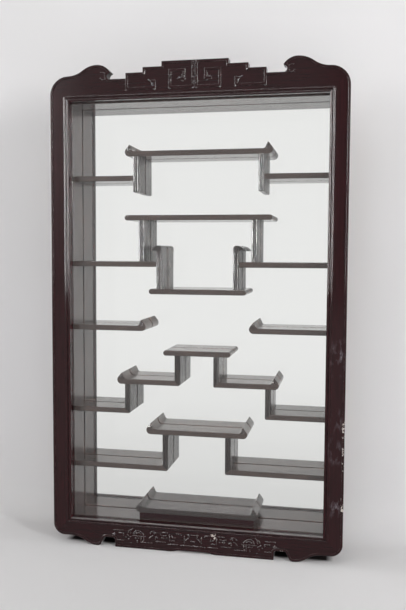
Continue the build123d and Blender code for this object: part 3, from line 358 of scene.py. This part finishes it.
wooden = []
for name in nodes:
    if name == "door_glass":
        paint(name, clear_glass("float glass", 1.37, smear=91 * MM))
    elif name == "mirror":
        paint(name, clear_glass("mirror glass", 1.35, smear=143 * MM))
    elif name == "back_panel":
        paint(name, plywood())
    elif name.startswith("catch"):
        paint(name, STEEL)
    elif name.startswith("hinge") or name.endswith("screws") or name == "hanger_plates":
        paint(name, BRASS)
    else:
        wooden.append(name)
        if name.endswith("stile") or name in ("glazing_bead_left", "glazing_bead_right"):
            paint(name, FRAME_UP)
        elif name.startswith(("stand_front", "stand_left", "stand_right")):
            paint(name, STAND)
        elif name == "stand_top":
            paint(name, SHADED_STAND_TOP)
        elif name.startswith(("door", "glazing")):
            paint(name, FRAME_ACROSS)
        elif name.startswith("case"):
            paint(name, CASE_UP if name.endswith("side") else CASE_ACROSS)
        else:
            paint(name, SHELF_UP if name.endswith(("leg", "upright")) else SHELF_ACROSS)


# ---- eased edges -----------------------------------------------------------------------------------
def shading_tree():
    """Geometry Nodes that shade a mesh smooth except across edges sharper than its limit."""
    tree = bpy.data.node_groups.new("smooth to an angle", "GeometryNodeTree")
    tree.interface.new_socket("Mesh", in_out="INPUT", socket_type="NodeSocketGeometry")
    limit = tree.interface.new_socket("Sharp angle", in_out="INPUT", socket_type="NodeSocketFloat")
    tree.interface.new_socket("Mesh", in_out="OUTPUT", socket_type="NodeSocketGeometry")
    start = add(tree, "NodeGroupInput")
    angle = add(tree, "GeometryNodeInputMeshEdgeAngle").outputs["Unsigned Angle"]
    soft = add(tree, "FunctionNodeCompare", angle, start.outputs["Sharp angle"],
               data_type="FLOAT", operation="LESS_EQUAL")
    faces = add(tree, "GeometryNodeSetShadeSmooth", start.outputs["Mesh"], domain="FACE")
    lines = add(tree, "GeometryNodeSetShadeSmooth", faces, Shade_Smooth=soft, domain="EDGE")
    add(tree, "NodeGroupOutput", lines)
    return tree, limit.identifier


SHADING, SHARP_ANGLE = shading_tree()
EASED = 0.5 * MM                                   # width that sanding takes off a square arris


def ease(node, width):
    """Smooth shading with flat flats, and where a width is given, square arrises bevelled by it."""
    piece = nodes[node]
    weld = piece.modifiers.new("weld", "WELD")
    weld.merge_threshold = 0.005 * MM
    if width:
        flat = piece.modifiers.new("one face to a flat", "DECIMATE")
        flat.decimate_type, flat.angle_limit = "DISSOLVE", math.radians(1)
        bevel = piece.modifiers.new("eased edges", "BEVEL")
        bevel.width, bevel.segments, bevel.limit_method = width, 2, "ANGLE"
        bevel.angle_limit, bevel.use_clamp_overlap = math.radians(50), False
    shade = piece.modifiers.new("shading", "NODES")
    shade.node_group = SHADING
    shade[SHARP_ANGLE] = math.radians(32)
    flats = piece.modifiers.new("flats stay flat", "WEIGHTED_NORMAL")
    flats.mode, flats.weight, flats.keep_sharp = "FACE_AREA", 100, True


for name in wooden:
    square = name.startswith(("case", "glazing", "stand_front", "stand_left", "stand_right"))
    ease(name, EASED if square else 0.0)


# ---- fine carving --------------------------------------------------------------------------------
THIN_END = 0.45                                    # a stroke's ends are this much thinner
FLAT_STUD = 0.8                                    # a stud stands out this much of its radius


def rope(mesh, path, radius, y, sides=8):
    """Half-sunk round line along a flat path of (x, z), added to a bmesh."""
    rings = []
    for i, (x, z) in enumerate(path):
        before = Vector(path[max(i - 1, 0)])
        after = Vector(path[min(i + 1, len(path) - 1)])
        here = Vector((x, z))
        first = (here - before).normalized() if i else (after - here).normalized()
        second = (after - here).normalized() if i < len(path) - 1 else first
        along = (first + second).normalized() if (first + second).length > 1e-6 else first
        out = Vector((-along.y, along.x))
        thick = radius * (THIN_END if i in (0, len(path) - 1) else 1.0)
        wide = thick / max(along.dot(first), 0.5)              # a bend keeps the line's width
        rings.append([mesh.verts.new((x + out.x * math.cos(t) * wide,
                                      y - math.sin(t) * thick,
                                      z + out.y * math.cos(t) * wide))
                      for t in (2 * math.pi * k / sides for k in range(sides))])
    for a, b in zip(rings, rings[1:]):
        for k in range(sides):
            mesh.faces.new((a[k], a[(k + 1) % sides], b[(k + 1) % sides], b[k]))
    mesh.faces.new(rings[0])
    mesh.faces.new(rings[-1])


def bead(mesh, x, z, radius, y):
    """Small round stud half sunk in the ground."""
    shape = Matrix.Translation((x, y, z)) @ Matrix.Diagonal((1, FLAT_STUD, 1, 1))
    bmesh.ops.create_icosphere(mesh, subdivisions=2, radius=radius, matrix=shape)


def solid(name, build, made, smooth=True):
    """New object at the origin from a function that fills a bmesh."""
    mesh = bmesh.new()
    build(mesh)
    bmesh.ops.recalc_face_normals(mesh, faces=mesh.faces)
    data = bpy.data.meshes.new(name)
    mesh.to_mesh(data)
    mesh.free()
    data.materials.append(made)
    for face in data.polygons:
        face.use_smooth = smooth
    piece = bpy.data.objects.new(name, data)
    bpy.context.scene.collection.objects.link(piece)
    return piece


def give(piece, body):
    """Piece belongs to a body."""
    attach(piece, body)


def between(a, b, c, d, t):
    """Value at t from b to c on the smooth curve through a, b, c and d."""
    return 0.5 * (2 * b + (c - a) * t + (2 * a - 5 * b + 4 * c - d) * t ** 2
                  + (3 * b - a - 3 * c + d) * t ** 3)


def flow(points, steps=5):
    """Soft line through a few points; two points make a straight line."""
    if len(points) == 2:
        (x0, z0), (x1, z1) = points
        return [(x0 + (x1 - x0) * t, z0 + (z1 - z0) * t) for t in (0, 0.12, 0.88, 1)]
    line = []
    ends = [points[0]] + list(points) + [points[-1]]
    for four in zip(ends, ends[1:], ends[2:], ends[3:]):
        for i in range(steps):
            line.append(tuple(between(*(point[k] for point in four), i / steps) for k in (0, 1)))
    return line + [points[-1]]


def spiral(centre, start, turns, first, last, steps=28):
    """Flat spiral path round centre, from radius first to radius last."""
    path = []
    for i in range(steps + 1):
        part = i / steps
        angle = start + part * turns * 2 * math.pi
        radius = first + (last - first) * part
        path.append((centre[0] + radius * math.cos(angle), centre[1] + radius * math.sin(angle)))
    return path


# Strokes of the carved band on the right half of the apron: mm out from the middle and up from the sill.
APRON_STROKES = (
    # fret in the middle, with a leaf
    ((0, -17.5), (13, -17.5)), ((8.7, -15.6), (8.7, -26.2)), ((9, -24.7), (12.5, -27), (15.5, -31.3)),
    ((0, -31), (5, -31)), ((18, -36), (18, -20)), ((0, -40.5), (22, -40.5)),
    # hooked arc and upright
    ((35.6, -16.9), (29, -16), (23.5, -20.5)), ((25, -17.5), (31, -17.5)), ((50, -20), (49, -34)),
    ((31.5, -40.3), (52, -40.3)), ((36, -26), (43, -26), (45, -21)), ((38, -33), (46, -33)),
    # bars
    ((52.8, -16.6), (66, -16.6)), ((60.7, -28), (67, -28)), ((56, -22), (63, -24), (70, -21.5)),
    # small arch with a leaf
    ((77.8, -21), (83.2, -16.3), (90, -17.5)), ((84.3, -25), (89, -27.5), (93, -32)),
    ((74, -30), (79, -27), (80, -34)), ((86, -41.2), (112, -41.2)), ((58, -37), (80, -37)),
    # large arch, base line and cell under it
    ((104.6, -26), (108, -21.5), (112, -18.5), (117, -16.3), (122, -17.5), (127.4, -23.5)),
    ((110, -24.5), (114, -21.5), (119, -21.5), (122, -25)), ((102, -28.5), (129, -28.5)),
    ((105.2, -30), (105.2, -38.4)), ((110.7, -30), (110.7, -38.4)), ((107.3, -37.7), (107.4, -41.6)),
    ((118, -37.5), (118.8, -43.4)), ((114, -33), (124, -33)),
    # leaves
    ((131, -15.9), (136, -18), (139, -23.5)), ((133, -31.5), (138, -30), (141, -26.4)),
    ((128.6, -12.7), (132.5, -17.5), (134, -24.9)), ((124, -20.7), (127.5, -25.9)),
    # end fret
    ((149, -18.5), (171, -18.5)), ((148, -24.7), (160, -24.7)), ((165, -28.2), (173, -28.2)),
    ((168.7, -25), (168.7, -38)), ((148, -40), (165, -40)), ((148.5, -24.7), (148.5, -30)))
# Studs of the band, in the same measures.
APRON_BEADS = ((24.9, -41.5), (82.5, -20.5), (90.7, -20.5), (102, -28.5), (129, -28.5), (137.3, -36.5),
               (132.3, -44.5), (169.4, -19.3), (55.5, -28), (143.3, -33))
# Curls of the crest's side fret and square fret: mm out from the middle and up from the head.
CREST_STROKES = (
    ((23, 49), (28, 38), (33, 34)), ((31, 41), (27, 33), (22, 31.5)), ((95, 37), (88.5, 32.5), (86, 24)))
CREST_BEADS = ((139.8, 18), (82, 18), (50.5, 18), (3.2, 18), (104, 49.5), (65.3, 61), (3.2, 69))


def on_both_sides(strokes, beads, level, radius, stud, y):
    """A builder that puts strokes and studs, given in mm, on the right half and mirrored on the left."""
    def build(mesh):
        for side in (1, -1):
            for line in strokes:
                rope(mesh, [(side * x * MM, level + z * MM) for x, z in flow(line)], radius, y)
            for x, z in beads:
                bead(mesh, side * x * MM, level + z * MM, stud, y)
    return build


HOOK_EYE = (190.5, 46.5)                           # mm out from the middle and up from the head


def hook_volutes(mesh):
    """Line that rolls up inside each hook of the crest."""
    for side in (1, -1):
        roll = spiral(HOOK_EYE, math.radians(60), 0.8, first=9.5, last=4.5)
        rope(mesh, [(side * x * MM, HEAD + z * MM) for x, z in roll], 0.8 * MM, DOOR_GROUND)


apron = on_both_sides(APRON_STROKES, APRON_BEADS, SILL, radius=1.2 * MM, stud=1.5 * MM, y=DOOR_GROUND)
crest = on_both_sides(CREST_STROKES, CREST_BEADS, HEAD, radius=1.1 * MM, stud=2.2 * MM,
                      y=DOOR_FRONT + 1.2 * MM)
for name, build in (("apron_carving", apron), ("crest_carving", crest),
                    ("crest_hook_volutes", hook_volutes)):
    give(solid(name, build, FRAME_CARVED), "door")


def repeat(name, motif, places, made):
    """Copies motif to places (x, y, z, mirrored) with Geometry Nodes and returns one plain mesh."""
    data = bpy.data.meshes.new(name + " places")
    data.from_pydata([p[:3] for p in places], [], [])
    size = data.attributes.new("size", "FLOAT_VECTOR", "POINT")
    for i, p in enumerate(places):
        size.data[i].vector = (-1 if p[3] else 1, 1, 1)
    holder = bpy.data.objects.new(name, data)
    bpy.context.scene.collection.objects.link(holder)
    tree = bpy.data.node_groups.new(name, "GeometryNodeTree")
    tree.interface.new_socket("Places", in_out="INPUT", socket_type="NodeSocketGeometry")
    motif_in = tree.interface.new_socket("Motif", in_out="INPUT", socket_type="NodeSocketObject")
    tree.interface.new_socket("Copies", in_out="OUTPUT", socket_type="NodeSocketGeometry")
    start = add(tree, "NodeGroupInput").outputs
    shape = add(tree, "GeometryNodeObjectInfo", start["Motif"]).outputs["Geometry"]
    scale = add(tree, "GeometryNodeInputNamedAttribute", Name="size", data_type="FLOAT_VECTOR")
    copies = add(tree, "GeometryNodeInstanceOnPoints", Points=start["Places"], Instance=shape, Scale=scale)
    real = add(tree, "GeometryNodeRealizeInstances", copies)
    add(tree, "NodeGroupOutput", add(tree, "GeometryNodeSetMaterial", real, Material=made))
    modifier = holder.modifiers.new("copies", "NODES")
    modifier.node_group = tree
    modifier[motif_in.identifier] = motif
    bpy.context.view_layer.update()
    shown = holder.evaluated_get(bpy.context.evaluated_depsgraph_get())
    plain = bpy.data.meshes.new_from_object(shown)
    bpy.data.objects.remove(motif)
    bpy.data.objects.remove(holder)
    plain.materials.clear()
    plain.materials.append(made)
    # a mirrored copy is inside out until its normals are worked out again
    mesh = bmesh.new()
    mesh.from_mesh(plain)
    bmesh.ops.recalc_face_normals(mesh, faces=mesh.faces)
    mesh.to_mesh(plain)
    mesh.free()
    for face in plain.polygons:
        face.use_smooth = True
        face.material_index = 0
    piece = bpy.data.objects.new(name, plain)
    bpy.context.scene.collection.objects.link(piece)
    return piece


CURL_EYE = (-10.5, 4.2)                            # mm in from the board's very end and up from its top


def curl(mesh):
    """Carved curl on the front of a turned-up board end, whose very end is at x = 0 and top at z = 0."""
    roll = spiral(CURL_EYE, math.radians(-120), 1.1, first=5.2, last=1.6, steps=20)
    rope(mesh, [(x * MM, z * MM) for x, z in roll], 1.0 * MM, 0, sides=6)
    bead(mesh, CURL_EYE[0] * MM, CURL_EYE[1] * MM, 1.7 * MM, 0)


curls = []
for node in ("upper_bench_top", "lower_bench_top", "stand_top"):
    low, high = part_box(node)
    level = low[2] + BOARD
    curls += [(high[0], SHELF_FRONT, level, False), (low[0], SHELF_FRONT, level, True)]
for node, side in (("pyramid_middle_left_board", 0), ("pyramid_middle_right_board", 1),
                   ("wing_left_shelf", 1), ("wing_right_shelf", 0)):
    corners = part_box(node)
    curls.append((corners[side][0], SHELF_FRONT, corners[0][2] + BOARD, side == 0))
give(repeat("scroll_curls", solid("curl", curl, CURLS), curls, CURLS), "case")


# ---- silver coat and screw recesses ----------------------------------------------------------------
COAT = 0.2 * MM                                    # thickness; a real coat is far thinner
COAT_INSET = 0.5 * MM                              # it stops short of the glass's edge
COAT_MIDDLE = 0.2 * MM                             # its middle lies this far inside the back of the glass


def silver_coat(mesh):
    """Thin silver sheet just inside the back of the mirror, so that the glass keeps its thickness."""
    low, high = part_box("mirror")
    middle = [(a + b) / 2 for a, b in zip(low, high)]
    half = [(b - a) / 2 - COAT_INSET for a, b in zip(low, high)]
    middle[1], half[1] = high[1] - COAT_MIDDLE, COAT / 2
    bmesh.ops.create_cube(mesh, size=2, matrix=Matrix.Translation(middle) @ Matrix.Diagonal(half + [1]))


give(solid("mirror_silvering", silver_coat, silvering(), smooth=False), "case")

CROSS_LONG, CROSS_WIDE, CROSS_DEEP = 3.0 * MM, 0.7 * MM, 0.12 * MM


def cross(depth_axis):
    """A builder for the cross recess of a screw head, seen along y or x."""
    def build(mesh):
        for across, up in ((CROSS_LONG, CROSS_WIDE), (CROSS_WIDE, CROSS_LONG)):
            size = [across, CROSS_DEEP, up] if depth_axis == "y" else [CROSS_DEEP, across, up]
            bmesh.ops.create_cube(mesh, size=1, matrix=Matrix.Diagonal(size + [1]))
    return build


def islands(node):
    """Middle, lowest and highest corner of each loose part of a CAD node."""
    mesh = bmesh.new()
    mesh.from_mesh(nodes[node].data)
    bmesh.ops.remove_doubles(mesh, verts=mesh.verts, dist=0.001 * MM)
    found, seen = [], set()
    for vert in mesh.verts:
        if vert in seen:
            continue
        seen.add(vert)
        part, waiting = [], [vert]
        while waiting:
            here = waiting.pop()
            part.append(here.co.copy())
            for edge in here.link_edges:
                other = edge.other_vert(here)
                if other not in seen:
                    seen.add(other)
                    waiting.append(other)
        low = Vector([min(p[k] for p in part) for k in range(3)])
        high = Vector([max(p[k] for p in part) for k in range(3)])
        found.append(((low + high) / 2, low, high))
    mesh.free()
    return found


for name, body, axis in (("back_screws", "case", "y"), ("hanger_screws", "case", "y"),
                         ("hinge_door_screws", "door", "y"), ("hinge_case_screws", "case", "x")):
    spots = [(middle.x, high.y, middle.z, False) if axis == "y" else (low.x, middle.y, middle.z, False)
             for middle, low, high in islands(name)]
    recess = solid(name + "_recess", cross(axis), RECESS_DIRT_AND_SHADE, smooth=False)
    give(repeat(name + "_recesses", recess, spots, RECESS_DIRT_AND_SHADE), body)


# ---- stage -----------------------------------------------------------------------------------------
WALL = 0.12                                        # y of the paper's wall, behind the cabinet
BEND = 0.07                                        # radius of the bend from floor to wall
REACH = 7.0                                        # the paper runs this far out, forward and up


def seen_in_mirror(tree):
    """1 for rays that come by mirror or glass."""
    rays = add(tree, "LightPath").outputs
    return add(tree, "Math", rays["Is Glossy Ray"], rays["Is Transmission Ray"], operation="MAXIMUM")


def white_paper():
    """Matt white paper, seen only from its front: cool white wall, floor painted slightly darker as shade
    and dark under the cabinet, and a painted glow in mirror and glass.
    """
    made, tree = material("white paper")
    here = add(tree, "TexCoord").outputs["Object"]
    across, depth, level = add(tree, "SeparateXYZ", here).outputs
    tint = add(tree, "MapRange", add(tree, "TexNoise", here, 1 / (625 * MM), 2, CRISP), 0.3, 0.7)
    wall = add(tree, "Mix", tint, colour("#e6e5e6"), colour("#e0dfdf"), data_type="RGBA")
    # painted shade: the floor is a little darker than the wall of the same sheet
    up = add(tree, "MapRange", level, 0.0, BEND)
    sheet = add(tree, "Mix", up, colour("#d8d7d7"), wall, data_type="RGBA")
    # painted shade: hardly any light reaches the paper between the apron and the wall, so it is painted
    # near black there
    beside = add(tree, "Math", across, operation="ABSOLUTE")
    under = within(tree, (beside, 0.285, 0.27), (level, 0.05, 0.045),
                   (depth, -0.03, -0.02), (depth, 0.06, 0.05))
    sheet = add(tree, "Mix", under, sheet, colour("#2a2626"), data_type="RGBA")
    matt = add(tree, "BsdfPrincipled", Base_Color=sheet, Roughness=0.95, Specular_IOR_Level=0.0)
    # painted reflection: in mirror and glass the paper glows by itself, grey at the cabinet's foot as
    # painted shade, clearing to white a few metres in front, and dark under the cabinet
    shade = add(tree, "Math", add(tree, "Math", depth, 0.5, operation="ADD"), operation="EXPONENT")
    white = add(tree, "Math", shade, -0.13, PAPER_WHITE, operation="MULTIPLY_ADD")
    white = add(tree, "Math", white, add(tree, "MapRange", under, 0, 1, 1, 0.1), operation="MULTIPLY")
    shown = add(tree, "MixShader", seen_in_mirror(tree), matt, add(tree, "Emission", Strength=white))
    back = add(tree, "NewGeometry").outputs["Backfacing"]
    add(tree, "OutputMaterial", add(tree, "MixShader", back, shown, add(tree, "BsdfTransparent")))
    return made


def sweep(mesh):
    """Floor, round bend and wall in one sheet."""
    start = WALL - BEND
    profile = [(-REACH, 0.0), (start, 0.0)]
    profile += [(start + BEND * math.sin(a), BEND - BEND * math.cos(a))
                for a in (math.pi / 2 * i / 24 for i in range(1, 25))]
    profile.append((WALL, REACH))
    left = [mesh.verts.new((-REACH, y, z)) for y, z in profile]
    right = [mesh.verts.new((REACH, y, z)) for y, z in profile]
    for i in range(len(profile) - 1):
        mesh.faces.new((left[i], right[i], right[i + 1], left[i + 1]))


paper = solid("paper sweep", sweep, white_paper())
facing = sum(1 for face in paper.data.polygons if face.normal.z > 0 or face.normal.y < 0)
if facing < len(paper.data.polygons) / 2:
    paper.data.flip_normals()
paper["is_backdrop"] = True


def room(sky):
    """Even room light; mirror and gloss see white paper with a dark gap and a window in it."""
    light = add(sky, "Background", colour("#f7f7f8"), 0.64)
    x, y, z = add(sky, "SeparateXYZ", add(sky, "TexCoord").outputs["Generated"]).outputs
    front = add(sky, "Math", y, -1.0, operation="MULTIPLY")
    bearing = add(sky, "Math", x, front, operation="ARCTAN2")
    # the gap lies in front, a little to the right, where the camera stands
    gap = within(sky, (bearing, math.radians(-1.4), math.radians(-0.6)),
                 (bearing, math.radians(14), math.radians(8)))
    # the window is a bright band on the left, up to 18 degrees high; the left stile shows it
    window = within(sky, (bearing, math.radians(-21), math.radians(-24)),
                    (z, math.sin(math.radians(-2)), math.sin(math.radians(10))),
                    (z, math.sin(math.radians(18)), math.sin(math.radians(15))))
    white = add(sky, "MapRange", gap, 0, 1, PAPER_WHITE, 0.3)
    white = add(sky, "Math", window, 2.2, white, operation="MULTIPLY_ADD")
    paper_all_round = add(sky, "Background", colour("#ffffff"), white)
    add(sky, "OutputWorld", add(sky, "MixShader", seen_in_mirror(sky), light, paper_all_round))


world = bpy.data.worlds.new("studio")
bpy.context.scene.world = world
world.use_nodes = True
world.node_tree.nodes.clear()
room(world.node_tree)


# ---- lights, camera --------------------------------------------------------------------------------
def softbox(name, where, target, size, power):
    """Soft rectangular light, size (width, height) in metres, turned to a point."""
    lamp = bpy.data.lights.new(name, "AREA")
    lamp.shape, lamp.size, lamp.size_y, lamp.energy = "RECTANGLE", size[0], size[1], power
    box = bpy.data.objects.new(name, lamp)
    box.location = where
    box.rotation_mode = "QUATERNION"
    box.rotation_quaternion = (Vector(target) - Vector(where)).to_track_quat("-Z", "Y")
    bpy.context.scene.collection.objects.link(box)
    return box


# place, height it is turned to, (width, height) and watts; a gleam lights no matt surface, it only draws
# thin lines of light on the polished arrises
for name, where, aim, size, power in (("key", (2.4, -1.9, 1.3), 0.5, (0.3, 1.3), 41),
                                      ("fill left", (-2.3, -2.2, 1.6), 0.6, (0.3, 0.8), 19),
                                      ("top", (-0.25, -1.6, 2.4), 0.5, (1.3, 0.1), 5),
                                      ("gleam right", (2.4, -1.9, 1.2), 0.6, (0.4, 1.6), 220),
                                      ("gleam left", (-2.25, -1.4, 1.2), 0.6, (0.5, 1.6), 230),
                                      ("gleam above", (-0.5, -1.5, 2.4), 0.6, (1.8, 0.12), 35)):
    box = softbox(name, where, (0, 0, aim), size, power)
    box.visible_diffuse = not name.startswith("gleam")

lens = bpy.data.cameras.new("camera")
lens.sensor_width, lens.sensor_fit, lens.lens = 36.0, "AUTO", 43.67
lens.clip_start = 0.05
camera = bpy.data.objects.new("camera", lens)
# to the right of the cabinet's middle and above it, turned a little to the left and down
camera.location = (0.309339, -1.496765, SILL + 0.561460)
camera.rotation_euler = [math.radians(angle) for angle in (86.0120, -0.2822, 11.3134)]
bpy.context.scene.collection.objects.link(camera)
bpy.context.scene.camera = camera
bpy.context.scene.view_settings.view_transform = "Standard"

low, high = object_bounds()
